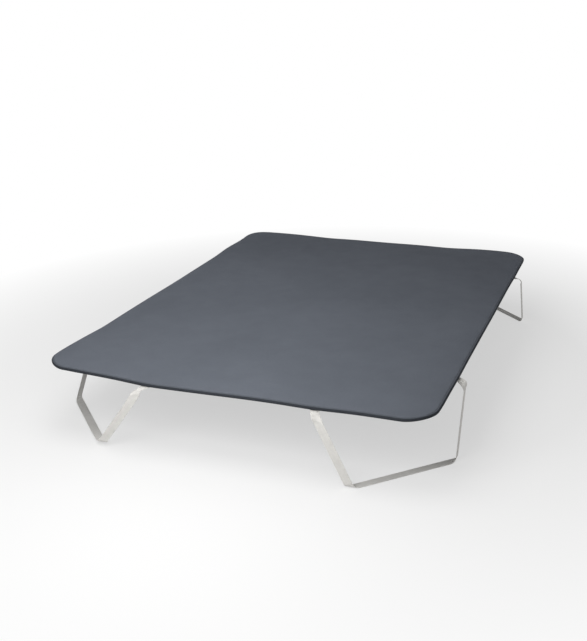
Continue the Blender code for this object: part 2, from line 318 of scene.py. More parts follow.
def stitch_row(path, up, pitch, stitch, thread, closed=False):
    """A row of raised stitches on a path, one every pitch, standing half a thread towards up.

    A stitch is four four-cornered rings: it is full width in the middle and narrows at the ends,
    where it dips below the surface.
    """
    middle, heading = even_walk(path, pitch, closed)
    up = np.broadcast_to(np.asarray(up, float), middle.shape)
    side = np.cross(up, heading)
    side /= np.linalg.norm(side, axis=1, keepdims=True)
    ends = [(-0.50, 0.45, -0.5), (-0.34, 1.0, 0.0), (0.34, 1.0, 0.0), (0.50, 0.45, -0.5)]
    section = [(-0.55, -0.25), (0.55, -0.25), (0.32, 0.5), (-0.32, 0.5)]
    rings = [
        [
            middle
            + heading * (place * stitch)
            + side * (across * thread * size)
            + up * ((height + dip) * thread)
            for across, height in section
        ]
        for place, size, dip in ends
    ]
    points = np.array(rings).transpose(2, 0, 1, 3)
    index = np.arange(16).reshape(4, 4)
    one = np.concatenate([ring_quads(index[:-1], index[1:]), index[:1, ::-1], index[-1:]])
    faces = (one[None] + 16 * np.arange(len(middle))[:, None, None]).reshape(-1, 4)
    return points.reshape(-1, 3), faces


def joined(parts):
    """One set of points and faces from several."""
    points, faces, count = [], [], 0
    for part_points, part_faces in parts:
        points.append(part_points)
        faces.append(part_faces + count)
        count += len(part_points)
    return np.concatenate(points), np.concatenate(faces)


# How the mat lies


def smooth_share(value, start, end):
    """0 before the start and 1 past the end, joined by three squares less two cubes."""
    share = np.clip((value - start) / (end - start), 0, 1)
    return share * share * (3 - 2 * share)


def soft_ramp(value, softness):
    """Nought below zero and the value above it, with a rounded knee."""
    return (value + np.sqrt(value * value + softness * softness)) / 2


def bell(*distances):
    """A bell curve of the distance whose parts are given, each over its own width."""
    return np.exp(-sum(part * part for part in distances))


# The lie fades out on the straps between these heights.
HELD_HEIGHTS = (-0.055, -0.012)
# How far in from the edges the crown and the bend of the last few centimetres reach.
CROWN_REACH, EDGE_REACH = 0.13, 0.028
# The foot-left corner lifts from this far past its strap's root, over this soft a knee, and this
# far along the left edge.
KNEE_PAST_ROOT, KNEE_SOFTNESS, CORNER_LENGTH = 0.012, 0.05, 0.46
# How far a corner lies shifted along x, and the reach of the shift.
CORNER_SHIFTS = (
    ("foot_left", 0.016, 0.11), ("head_left", -0.009, 0.10), ("foot_right", -0.007, 0.10),
    ("head_right", -0.010, 0.10), ("head_right", -0.006, 0.09),
)
# Height, radians in a metre along x and along y, and phase of each long wave.
WAVES = (
    (1.0, 7.1, 2.3, 0.4), (0.8, 3.7, -6.4, 1.9), (0.5, 4.1, 12.3, 0.7), (0.35, 15.7, -3.3, 2.6)
)


def lying(points, pad, strap):
    """Moves points of the flat mat to where the soft mat lies.

    The middle stands above the edges by a crown, one less an exponential of the distance from
    each pair of edges, and a narrower one bends down the last few centimetres. Past the
    foot-left strap the corner is drawn in and raised along a straight line from the strap's
    root. Bell curves raise and lower parts of the edges, and draw them down at the straps'
    roots. The whole sheet rises and falls in a few long waves. Points far below the mat, on the
    straps, stay where they are, but for the foot-left strap, which is raised in proportion to
    its depth, and whose run down the foot face bows towards the middle of the mat.
    """
    out = points.copy()
    x, y, z = points.T
    half_x, half_y = pad.width / 2, pad.length / 2
    held = smooth_share(z, *HELD_HEIGHTS)
    from_side = np.clip(half_x - np.abs(x), 0, None)
    from_end = np.clip(half_y - np.abs(y), 0, None)
    rise = np.zeros(len(points))
    for height, reach in ((pad.crown, CROWN_REACH), (pad.edge_fall, EDGE_REACH)):
        rise += height * (1 - np.exp(-from_side / reach)) * (1 - np.exp(-from_end / reach))

    knee = strap.left_root - half_x + KNEE_PAST_ROOT
    past = soft_ramp(knee - x, KNEE_SOFTNESS) / (half_x + knee)
    past *= 1 - smooth_share(y, -half_y, -half_y + CORNER_LENGTH)
    out[:, 1] += held * pad.corner_pull * past
    rise += pad.corner_lift * past
    for corner, shift, reach in CORNER_SHIFTS:
        x_sign, y_sign = CORNERS[corner]
        near = bell((x - x_sign * half_x) / reach, (y - y_sign * half_y) / reach)
        out[:, 0] += held * shift * near

    # Height of each rise or fall of the edges, the place of its middle, and its reach.
    bells = [
        (0.003, (-half_x, -0.62), (0.16, 0.17)),
        (0.008, (-half_x, 0.64), (0.12, 0.16)),
        (0.004, (-half_x, half_y), (0.12, 0.12)),
        (pad.head_rise, (-0.58, half_y), (0.23, 0.22)),
        (-1.2 * pad.head_fall, (half_x, half_y), (0.12, 0.12)),
        (-1.2 * pad.root_droop, (-0.19, -half_y), (0.19, 0.24)),
    ]
    for x_sign, y_sign in CORNERS.values():
        root = strap.left_root if x_sign < 0 else strap.right_root
        for place_x, place_y in ((half_x - root, half_y), (half_x, half_y - root)):
            bells.append((-pad.root_droop, (x_sign * place_x, y_sign * place_y), (0.10, 0.10)))
    for height, middle, reach in bells:
        rise += height * bell((x - middle[0]) / reach[0], (y - middle[1]) / reach[1])
    near_head = bell((y - half_y) / 0.24)
    rise -= 0.8 * pad.head_fall * smooth_share(x, -0.30, 0.10) * near_head

    wave = sum(
        height * np.sin(along_x * x + along_y * y + phase)
        for height, along_x, along_y, phase in WAVES
    )
    loose = (0.55 + 0.75 * np.exp(-np.minimum(from_side, from_end) / 0.12)) / 1.6
    out[:, 2] += held * (rise + pad.wave_height * loose * wave)

    foot_left = (x < 0) & (y < 0)
    below = np.clip(-z - strap.thickness * 2, 0, None)
    out[:, 2] += foot_left * pad.strap_lift * below / strap.depth
    on_face = smooth_share(y, -half_y + 0.05, -half_y - 0.02) * smooth_share(z, -0.008, -0.035)
    bow = bell((z + 0.09) / 0.09) + 0.5 * smooth_share(z, -0.10, -0.20)
    out[:, 0] += foot_left * on_face * pad.strap_bow * bow
    return out


def lay_piece(
    scene, name, points, faces, finish, sharp=None, nodes=(), slot=None, rides=True, **more
):
    """Adds a piece of the flat mat where the soft mat lies. It takes the place of its nodes."""
    points = lying(points, scene.mat_pad, scene.mat_straps)
    piece = add_piece(name, points, faces, finish, **more)
    if sharp:
        piece.data.set_sharp_from_angle(angle=math.radians(sharp))
    if nodes:
        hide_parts(*nodes)
    if rides:
        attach(piece, "mat")
    return piece


# Shader maths


class Nodes:
    """A node tree. Every node that is added to it comes from its one method."""

    def __init__(self, tree):
        self.tree = tree

    def node(self, kind, settings=None, values=None, output=0):
        """Adds a node, gives it its settings, and fills its sockets by number or name."""
        made = self.tree.nodes.new(kind)
        for key, setting in (settings or {}).items():
            setattr(made, key, setting)
        for key, value in (values or {}).items():
            self.fill(made.inputs[key], value)
        return Shade(self, made.outputs[output])

    def fill(self, socket, value):
        """Links a shade to the socket, or sets a constant. A colour may lack its fourth part."""
        if isinstance(value, Shade):
            self.tree.links.new(value.socket, socket)
        elif hasattr(value, "__len__") and len(value) < len(socket.default_value):
            socket.default_value = (*value, 1)
        else:
            socket.default_value = value


class Shade:
    """One value in a node tree. Python's operators on it add Math nodes."""

    def __init__(self, nodes, socket):
        self.nodes, self.socket = nodes, socket

    def other(self, output):
        """Another output of the same node."""
        return Shade(self.nodes, self.socket.node.outputs[output])

    def maths(self, operation, *values):
        settings = {"operation": operation}
        return self.nodes.node("ShaderNodeMath", settings, dict(enumerate(values)))

    def __add__(self, other):
        return self.maths("ADD", self, other)

    def __sub__(self, other):
        return self.maths("SUBTRACT", self, other)

    def __rsub__(self, other):
        return self.maths("SUBTRACT", other, self)

    def __mul__(self, other):
        return self.maths("MULTIPLY", self, other)

    def __truediv__(self, other):
        return self.maths("DIVIDE", self, other)

    def __rtruediv__(self, other):
        return self.maths("DIVIDE", other, self)

    def __pow__(self, other):
        return self.maths("POWER", self, other)

    def __rpow__(self, other):
        return self.maths("POWER", other, self)

    __radd__, __rmul__ = __add__, __mul__

    def __abs__(self):
        return self.maths("ABSOLUTE", self)

    def sine(self):
        return self.maths("SINE", self)

    def floor(self):
        return self.maths("FLOOR", self)

    def between(self, start, end, low=0.0, high=1.0):
        """Runs from low to high as this value goes from start to end, held at both ends."""
        values = {0: self, 1: start, 2: end, 3: low, 4: high}
        return self.nodes.node("ShaderNodeMapRange", None, values)

    def blend(self, first, second):
        """The first colour where this value is 0, and the second where it is 1."""
        values = {0: self, 6: first, 7: second}
        return self.nodes.node("ShaderNodeMix", {"data_type": "RGBA"}, values, output=2)

    def tones(self, tint, dark, light):
        """The tint times the dark share where this value is 0, and the light one where it is 1."""
        return self.blend(shifted(tint, dark), shifted(tint, light))


class Finish(Nodes):
    """A material with one Principled shader, whose sockets are set by name."""

    def __init__(self, name, **constants):
        self.material = bpy.data.materials.new(name)
        self.material.use_nodes = True
        super().__init__(self.material.node_tree)
        self.shader = self.tree.nodes["Principled BSDF"]
        for key, value in constants.items():
            self.put(key.replace("_", " "), value)

    def put(self, socket_name, value):
        self.fill(self.shader.inputs[socket_name], value)

    def place(self):
        """Object coordinates, in metres."""
        return self.node("ShaderNodeTexCoord", output=3)

    def noise(self, scale, detail, roughness=0.5):
        values = {"Vector": self.place(), "Scale": scale, "Detail": detail}
        return self.node("ShaderNodeTexNoise", None, {**values, "Roughness": roughness})

    def cells(self, scale):
        return self.node("ShaderNodeTexVoronoi", None, {"Vector": self.place(), "Scale": scale})

    def relief(self, height, distance, strength=1.0):
        values = {"Height": height, "Distance": distance, "Strength": strength}
        self.put("Normal", self.node("ShaderNodeBump", None, values))


def shifted(tint, share):
    return tuple(min(1.0, part * share) for part in tint)


def leatherette_finish(name, tint):
    """Matt leatherette: domed grain between creases darkened as painted shade, cloudy tone, gloss.

    A grain's height falls with the distance from its middle. The piece's tone is 1 where the
    skin has its full colour, and less where it is darker: down the rolled edge that is painted
    shade.
    """
    finish = Finish(name, Metallic=0.0, Specular_IOR_Level=0.05)
    broad = finish.noise(2.1, 2.0)
    cloud = finish.noise(14.0, 3.0)
    crease = finish.noise(230.0, 3.0, roughness=0.62)
    grain = 1.0 - finish.cells(600.0)
    cloudy = (broad * 0.5 + cloud * 0.3 + crease * 0.2).between(0.3, 0.7)
    # The cloudy part is the skin's own uneven tone; the grain's creases are darkened as painted
    # shade.
    cloud_and_crease_shade = cloudy * 0.45 + grain.between(0.25, 0.75) * 0.55
    full = cloud_and_crease_shade.tones(tint, 0.84, 1.20)
    # The tone darkens the rolled edge as painted shade, and the hem and patches by their own tone.
    tone = finish.node("ShaderNodeAttribute", {"attribute_name": "tone"}, output=2)
    finish.put("Base Color", tone.blend((0.0, 0.0, 0.0), full))
    gloss = cloud * 0.4 + broad * 0.4 + grain * 0.2
    finish.put("Roughness", gloss.between(0.3, 0.7, 0.86, 0.74))
    finish.relief(grain + crease * 0.7, 0.0003)
    return finish.material


def grip_cloth_finish(name, tint):
    """Matt knitted cloth: crossed fine ribs with a little fuzz."""
    finish = Finish(name, Metallic=0.0, Specular_IOR_Level=0.25, Sheen_Weight=0.25)
    axes = finish.node("ShaderNodeSeparateXYZ", None, {0: finish.place()})
    warp, weft = (axes * 3300.0).sine(), (axes.other(1) * 2500.0).sine()
    weave = warp * weft
    fuzz = finish.noise(420.0, 2.0)
    finish.put("Base Color", (weave * 0.25 + fuzz).between(0.2, 0.9).tones(tint, 0.7, 1.5))
    finish.put("Roughness", fuzz.between(0.3, 0.7, 0.82, 0.95))
    finish.relief(weave * 0.5 + fuzz, 0.0002, 0.6)
    return finish.material


def mottled_finish(name, tint, noise, tones, gloss, relief=None, **constants):
    """Anything plain: one noise of a scale and a detail varies its tone, roughness and relief."""
    finish = Finish(name, Metallic=0.0, **constants)
    spots = finish.noise(*noise)
    finish.put("Base Color", spots.between(0.3, 0.7).tones(tint, *tones))
    finish.put("Roughness", spots.between(0.3, 0.7, *gloss))
    if relief:
        finish.relief(spots, *relief)
    return finish.material


def rubber_finish(name, tint):
    """Soft silicone dots."""
    return mottled_finish(name, tint, (310.0, 2.0), (0.8, 1.3), (0.42, 0.55))


def thread_finish(name, tint):
    """Bonded sewing thread with a fine twist."""
    return mottled_finish(
        name, tint, (2200.0, 1.0), (0.8, 1.2), (0.55, 0.7), Specular_IOR_Level=0.4
    )


def fibre_finish(name, tint):
    """Pressed fibre board of the washer."""
    return mottled_finish(name, tint, (800.0, 4.0), (0.7, 1.3), (0.8, 0.92), (0.0001, 0.6))


def elastic_finish(name, tint, ribs, pick_length=0.0016):
    """White woven elastic: lengthwise ribs crossed by fine picks that step from rib to rib.

    The piece's own map gives the share across the strap and the metres along it.
    """
    finish = Finish(name, Metallic=0.0, Specular_IOR_Level=0.3, Sheen_Weight=0.15)
    cloth = finish.node("ShaderNodeUVMap", {"uv_map": "cloth"})
    across = finish.node("ShaderNodeSeparateXYZ", None, {0: cloth})
    along = across.other(1)
    rib_place = across * float(ribs)
    rib = (rib_place * math.pi).sine()
    crown = abs(rib) ** 0.6
    step = rib_place.floor() * 0.5
    pick = ((along / pick_length + step) * (2 * math.pi)).sine() * 0.5 + 0.5
    soil = finish.noise(55.0, 3.0)
    woven = crown * 0.65 + pick * 0.35
    # Grooves between the ribs and picks are darkened as painted shade; the soil is the strap's own
    # dirt.
    dark = woven * 0.55 + soil * 0.45
    finish.put("Base Color", dark.between(0.2, 0.8).tones(tint, 0.67, 0.89))
    finish.put("Roughness", woven.between(0.0, 1.0, 0.92, 0.74))
    finish.relief(woven, 0.00035, 0.8)
    return finish.material


def nickel_finish(name, tint):
    """Nickel plate with a soft brushed haze and a few duller spots."""
    finish = Finish(name, Metallic=1.0)
    haze = finish.noise(900.0, 3.0)
    spots = finish.noise(190.0, 2.0)
    finish.put("Base Color", spots.between(0.3, 0.7).tones(tint, 0.92, 1.05))
    finish.put("Roughness", (haze * 0.5 + spots * 0.5).between(0.3, 0.7, 0.22, 0.36))
    finish.relief(haze, 0.00005, 0.4)
    return finish.material


def finish_once(maker, name, tint, *values):
    """The named finish, made on its first use. The names differ from the frame's own."""
    return bpy.data.materials.get(name) or maker(name, tuple(tint), *values)


# The padded cover and its seam


# How the roll rounds: the power of its oval. How far from its top and from the hem the
# painted shade of the rolled edge fades.
ROLL_POWER, TOP_FADE, HEM_FADE = 2.4, (0.0014, 0.0003), (0.0016, 0.0002)
# Widths of the seam's groove and of the dip round it, and the dip's depth against the groove's.
GROOVE_WIDTH, DIP_WIDTH, DIP_SHARE = 0.0011, 0.0060, 0.45
# Distance between the section's points at the seam.
SEAM_STEP = 0.00045
# How deep the seam and its groove lie in the hem, and half the groove's width there.
HEM_GROOVE, HEM_GROOVE_HALF = 0.00035, 0.0015
# The share of its thread by which the seam lies pressed into the top.
SEAM_PRESSED = 0.05
# The grip cloth's edge, from each of its faces, as (inset, distance from the face).
CLOTH_EDGE = ((0.0006, 0.0), (0.0001, 0.0002), (0.0, 0.0005))
# The rings of a grip dot, as (share of its radius, height), and how far in from the cloth's edge
# the dots keep.
DOT_RINGS, DOT_MARGIN = ((1.0, 0.0002), (0.86, -0.00032), (0.45, -0.00052)), 0.010


def outline_of(pad):
    """The mat's width, length and corner radius."""
    return pad.width, pad.length, pad.corner_radius


def mat_lines(corner_steps=10):
    """Grid lines of the mat's flat faces, about 18 mm apart, closer in the corners."""
    return grid_line(corner_steps, 72), grid_line(corner_steps, 100)


def top_height(inset, pad, seam):
    """Height of the cover's top at a distance in from the outline.

    A quarter of a squarish oval rises from the widest line to the flat top. The seam presses it
    down in a narrow groove inside a wider dip, both bell curves.
    """
    in_from = np.clip(1 - inset / pad.top_roll, 0, 1)
    arch = (1 - in_from**ROLL_POWER) ** (1 / ROLL_POWER)
    off = inset - seam.inset
    pressed = bell(off / GROOVE_WIDTH) + DIP_SHARE * bell(off / DIP_WIDTH)
    return pad.edge_height + (pad.thickness - pad.edge_height) * arch - seam.depth * pressed


def cover_section(pad, seam):
    """(inset, z) from the flat top round the edge and along the hem to the foam's underside."""
    flat = [0.030, 0.024, 0.020, 0.017, 0.0145, 0.0125, 0.0113, 0.0106]
    near = [seam.inset + step * SEAM_STEP for step in (2, 1, 0, -1, -2)]
    turns = np.radians([68, 61, 54, 47, 40, 33, 26, 19, 12, 6])
    roll = [pad.top_roll * (1 - math.cos(turn)) for turn in turns]
    section = [(inset, float(top_height(inset, pad, seam))) for inset in flat + near + roll]
    for turn in np.radians([0, 15, 30, 45, 60, 75, 90]):
        inset = pad.under_roll * (1 - math.cos(turn))
        section.append((inset, pad.edge_height * (1 - math.sin(turn))))
    section += [
        (seam.inset - HEM_GROOVE_HALF, 0.0), (seam.inset, HEM_GROOVE),
        (seam.inset + HEM_GROOVE_HALF, 0.0),
    ]
    section += [(share * pad.hem_width, 0.0) for share in (0.3, 0.6, 0.9, 0.98)]
    section += [(pad.hem_width - 0.0003, 0.0001), (pad.hem_width, 0.0005), (pad.hem_width, 0.0015)]
    return section


def cover_tone_with_edge_shade(z, pad):
    """1 on the flat top, painted shade down the rolled edge, and the hem tone on the hem."""
    top = smooth_share(z, *(pad.thickness - fade for fade in TOP_FADE))
    under = smooth_share(z, *HEM_FADE)
    return pad.edge_painted_shade + (1 - pad.edge_painted_shade) * top + (pad.hem_tone - pad.edge_painted_shade) * under


class OBJECT_OT_grounding_mat_cover(bpy.types.Operator):
    """The padded leatherette cover, rolled at the edge and turned under as the hem"""

    bl_idname = "object.grounding_mat_cover"
    bl_label = "Cover"

    def execute(self, context):
        pad, seam = context.scene.mat_pad, context.scene.mat_seam
        points, faces = pad_shell(outline_of(pad), cover_section(pad, seam), mat_lines())
        # The cover's tone paints shade down its rolled edge.
        cover = lay_piece(
            context.scene, "mat_cover", points, [faces],
            finish_once(leatherette_finish, "mat_leatherette", pad.leather), sharp=62,
            nodes=("top_skin", "foam_core"), slot="leatherette", tone=cover_tone_with_edge_shade(points[:, 2], pad),
        )
        return {"FINISHED"}


class OBJECT_OT_grounding_mat_seam(bpy.types.Operator):
    """The row of stitches round the mat's edge, on the top and on the hem"""

    bl_idname = "object.grounding_mat_seam"
    bl_label = "Edge seam"

    def execute(self, context):
        pad, seam = context.scene.mat_pad, context.scene.mat_seam
        top = float(top_height(seam.inset, pad, seam)) - SEAM_PRESSED * seam.thread
        stitch = seam.pitch, seam.stitch, seam.thread
        rows = []
        for z, up in ((top, (0, 0, 1)), (HEM_GROOVE, (0, 0, -1))):
            path = outline_path(outline_of(pad), seam.inset, mat_lines(24), z)
            rows.append(stitch_row(path, up, *stitch, closed=True))
        points, faces = joined(rows)
        finish = finish_once(thread_finish, "mat_thread", seam.thread_colour)
        lay_piece(context.scene, "edge_stitches", points, [faces], finish)
        return {"FINISHED"}


class OBJECT_OT_grounding_mat_grip(bpy.types.Operator):
    """The non-slip cloth inside the hem and the raised dots on it"""

    bl_idname = "object.grounding_mat_grip"
    bl_label = "Grip cloth"

    def execute(self, context):
        pad = context.scene.mat_pad
        inset = (pad.width - (PANEL_HIGH.x - PANEL_LOW.x)) / 2
        section = [(inset + edge, PANEL_HIGH.z - drop) for edge, drop in CLOTH_EDGE]
        section += [(inset + edge, rise) for edge, rise in CLOTH_EDGE[::-1]]
        points, faces = pad_shell(outline_of(pad), section, mat_lines())
        finish = finish_once(grip_cloth_finish, "mat_grip_cloth", pad.grip_cloth)
        panel = lay_piece(
            context.scene, "grip_panel", points, [faces], finish, nodes=("underside_panel",),
            slot="grip_cloth",
        )

        points, faces = self.dots(pad, inset + DOT_MARGIN)
        finish = finish_once(rubber_finish, "mat_grip_dots", pad.grip_dot)
        dots = lay_piece(context.scene, "grip_dots", points, [faces], finish)
        return {"FINISHED"}

    @staticmethod
    def dots(pad, inset):
        """Eight-sided domes on a triangular lattice, inside the outline drawn in by the inset."""
        pitch, row = pad.dot_pitch, pad.dot_pitch * math.sqrt(3) / 2
        rows = int(pad.length / 2 / row)
        columns = int(pad.width / 2 / pitch) + 1
        j, i = np.mgrid[-rows : rows + 1, -columns : columns + 1]
        x, y = ((i + 0.5 * (j % 2)) * pitch).ravel(), (j * row).ravel()
        over_x = np.abs(x) - (pad.width / 2 - pad.corner_radius)
        over_y = np.abs(y) - (pad.length / 2 - pad.corner_radius)
        outside = np.hypot(np.maximum(over_x, 0), np.maximum(over_y, 0))
        depth = pad.corner_radius - outside - np.minimum(np.maximum(over_x, over_y), 0)
        middles = np.column_stack([x, y, 0 * x])[depth > inset]

        turn = np.arange(8) * math.pi / 4
        circle = np.stack([np.cos(turn), np.sin(turn), 0 * turn], -1) * pad.dot_radius
        rings = [circle * share + (0, 0, z) for share, z in DOT_RINGS]
        index = np.arange(24).reshape(3, 8)
        lid = np.array([[0, 1, 2, 3], [0, 3, 4, 7], [4, 5, 6, 7]])
        one = np.concatenate(
            [ring_quads(index[1:], index[:-1]), index[0][lid], index[-1][lid[:, ::-1]]]
        )
        points = (middles[:, None, :] + np.concatenate(rings)).reshape(-1, 3)
        faces = (one[None] + 24 * np.arange(len(middles))[:, None, None]).reshape(-1, 4)
        return points, faces


# The straps


# Where the shoulder starts, in from the mat's edge.
SHOULDER_START = 0.005
# Steps along half a strap: the sewn end, the shoulder before and past the hinge, the face, the
# base and the run under the corner.
SEWN_STEPS, SHOULDER_STEPS, SWING_STEPS, FACE_STEPS, BASE_STEPS, UNDER_STEPS = 8, 8, 12, 24, 10, 12
# Gap between a sewn end and its patch.
FIT_GAP = 0.0003
# Where the sewn box starts, its length, and how much narrower than the strap it is.
BOX_START, BOX_LENGTH, BOX_MARGIN = 0.004, 0.028, 0.008
# Pitch, length and thread of the stitches round a patch and through a strap.
PATCH_STITCH, STRAP_STITCH = (0.0034, 0.0027, 0.0004), (0.0032, 0.0026, 0.00045)
# How far in from a patch's edge its stitches run, and how deep they draw it in.
PATCH_SEAM, PATCH_GROOVE = 0.0028, 0.00016
# How much lighter than the hem's tone a patch is.
PATCH_LIGHTER = 0.05
# The band's section as shares of half its width and half its thickness: how far its flat faces
# reach, the points across them, and the round edge between them.
FLAT_REACH, FLAT_POINTS = 0.965, 13
EDGE_OUT, EDGE_LEVEL = np.array([0.988, 1.0, 0.988]), np.array([0.72, 0.0, -0.72])


def steps_between(start, end, count):
    """Evenly spaced values after the start, up to the end."""
    return np.linspace(start, end, count + 1)[1:]


def strap_route(strap, sewn_height, root):
    """Centres and cross-line angles of half a strap, in the corner's own frame.

    x runs along the mat's edge from the corner and y in from the edge. The sewn end lies flat
    under the hem. The shoulder is a quarter ellipse, the face is upright, and the base is a
    quarter circle. The strap keeps one slant until the base, where the slant turns to the
    diagonal, and then it runs under the corner to the mirror plane.
    """
    upright = math.pi / 2
    turns = np.concatenate([
        np.linspace(0, strap.hinge_turn, SHOULDER_STEPS + 1),
        steps_between(strap.hinge_turn, upright, SWING_STEPS),
    ])
    shoulder_out = (strap.overhang + SHOULDER_START) * np.sin(turns) - SHOULDER_START
    shoulder_z = sewn_height - strap.shoulder_drop * (1 - np.cos(turns))
    face_z = steps_between(shoulder_z[-1], strap.base_radius - strap.depth, FACE_STEPS)
    bends = steps_between(0, upright, BASE_STEPS)
    base_out = strap.overhang - strap.base_radius * (1 - np.cos(bends))
    base_z = -strap.depth + strap.base_radius * (1 - np.sin(bends))
    out = np.concatenate([shoulder_out, np.full(FACE_STEPS, strap.overhang), base_out])
    z = np.concatenate([shoulder_z, face_z, base_z])
    steps = np.hypot(np.diff(out), np.diff(z))
    slant = (root - strap.foot) / steps.sum()
    share = np.full(len(steps), slant)
    share[-BASE_STEPS:] += (1 - slant) * steps_between(0, 1, BASE_STEPS)
    run = np.concatenate([[root], root - np.cumsum(steps * share)])

    sewn_out = np.linspace(-strap.sewn_depth, -SHOULDER_START, SEWN_STEPS + 1)[:-1]
    sewn_run = root + slant * (-SHOULDER_START - sewn_out)
    under = steps_between(0, 1, UNDER_STEPS)
    to_mirror = (run[-1] + out[-1]) / 2 * under
    centres = np.column_stack([
        np.concatenate([sewn_run, run, run[-1] - to_mirror]),
        -np.concatenate([sewn_out, out, out[-1] - to_mirror]),
        np.concatenate([np.full(SEWN_STEPS, sewn_height), z, np.full(UNDER_STEPS, z[-1])]),
    ])
    square, diagonal = math.atan(slant), upright / 2
    ring = np.concatenate([
        np.full(SEWN_STEPS, square),
        np.linspace(square, diagonal, SHOULDER_STEPS + 1),
        steps_between(diagonal, 0, SWING_STEPS),
        np.zeros(FACE_STEPS + BASE_STEPS),
        -diagonal * under,
    ])
    return centres, ring


def strap_band(strap, sewn_height, root):
    """Points, faces and map of one whole strap in the corner's frame, and its rings of points.

    The half route is mirrored over the corner's diagonal. At each station the section is a
    flat band with round edges: its middle line is the cross line, drawn out so that its width
    square to the heading is the strap's, and its thickness lies along the surface's normal.
    """
    half, ring = strap_route(strap, sewn_height, root)
    line = np.stack([-np.cos(ring), np.sin(ring), 0 * ring], -1)
    centres, across = (np.vstack([part, part[-2::-1][:, [1, 0, 2]]]) for part in (half, line))
    heading = np.gradient(centres, axis=0)
    heading /= np.linalg.norm(heading, axis=1, keepdims=True)
    normal = np.cross(across, heading)
    size = np.linalg.norm(normal, axis=1, keepdims=True)
    normal, wide = normal / size, across / size * strap.width / 2
    run = np.concatenate([[0], np.cumsum(np.linalg.norm(np.diff(centres, axis=0), axis=1))])

    flat = np.linspace(-FLAT_REACH, FLAT_REACH, FLAT_POINTS)
    place = np.concatenate([flat, EDGE_OUT, flat[::-1], -EDGE_OUT])
    face = np.ones(FLAT_POINTS)
    level = np.concatenate([face, EDGE_LEVEL, -face, -EDGE_LEVEL])
    points = (
        centres[:, None]
        + wide[:, None] * place[None, :, None]
        + normal[:, None] * (level * strap.thickness / 2)[None, :, None]
    )
    index = np.arange(len(centres) * len(place)).reshape(len(centres), len(place))
    uv = np.stack(np.broadcast_arrays((place[None] + 1) / 2, run[:, None]), -1)
    return points.reshape(-1, 3), ring_quads(index[:-1], index[1:]), uv.reshape(-1, 2), index


def to_mat(points, corner, pad):
    """Takes points from a corner's own frame, (along, in, up), to the mat's."""
    x_sign, y_sign = CORNERS[corner]
    x, y, z = points.T
    return np.stack([x_sign * (pad.width / 2 - x), y_sign * (pad.length / 2 - y), z], -1)


def root_of(corner, strap):
    return strap.left_root if corner.endswith("left") else strap.right_root


def sewn_level(strap):
    """Height of the sewn ends' middle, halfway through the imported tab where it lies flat."""
    return PATCH_LOW.z - FIT_GAP - strap.thickness / 2


class OBJECT_OT_grounding_mat_straps(bpy.types.Operator):
    """The four elastic straps, each one length from one sewn end to the other"""

    bl_idname = "object.grounding_mat_straps"
    bl_label = "Corner straps"

    def execute(self, context):
        pad, strap = context.scene.mat_pad, context.scene.mat_straps
        finish = finish_once(elastic_finish, "mat_elastic", strap.elastic, strap.ribs)
        level = sewn_level(strap)
        for corner, (x_sign, y_sign) in CORNERS.items():
            points, faces, uv, index = strap_band(strap, level, root_of(corner, strap))
            faces = [faces, np.array([index[0][::-1], index[-1]])]
            if x_sign * y_sign < 0:
                faces = [face[:, ::-1] for face in faces]
            piece = lay_piece(
                context.scene, corner + "_elastic", to_mat(points, corner, pad), faces, finish,
                sharp=80, nodes=[corner + end for end in ("_strap", "_end_tab", "_side_tab")],
                slot="elastic", rides=False, uv=uv,
            )
            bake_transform(piece)
        return {"FINISHED"}


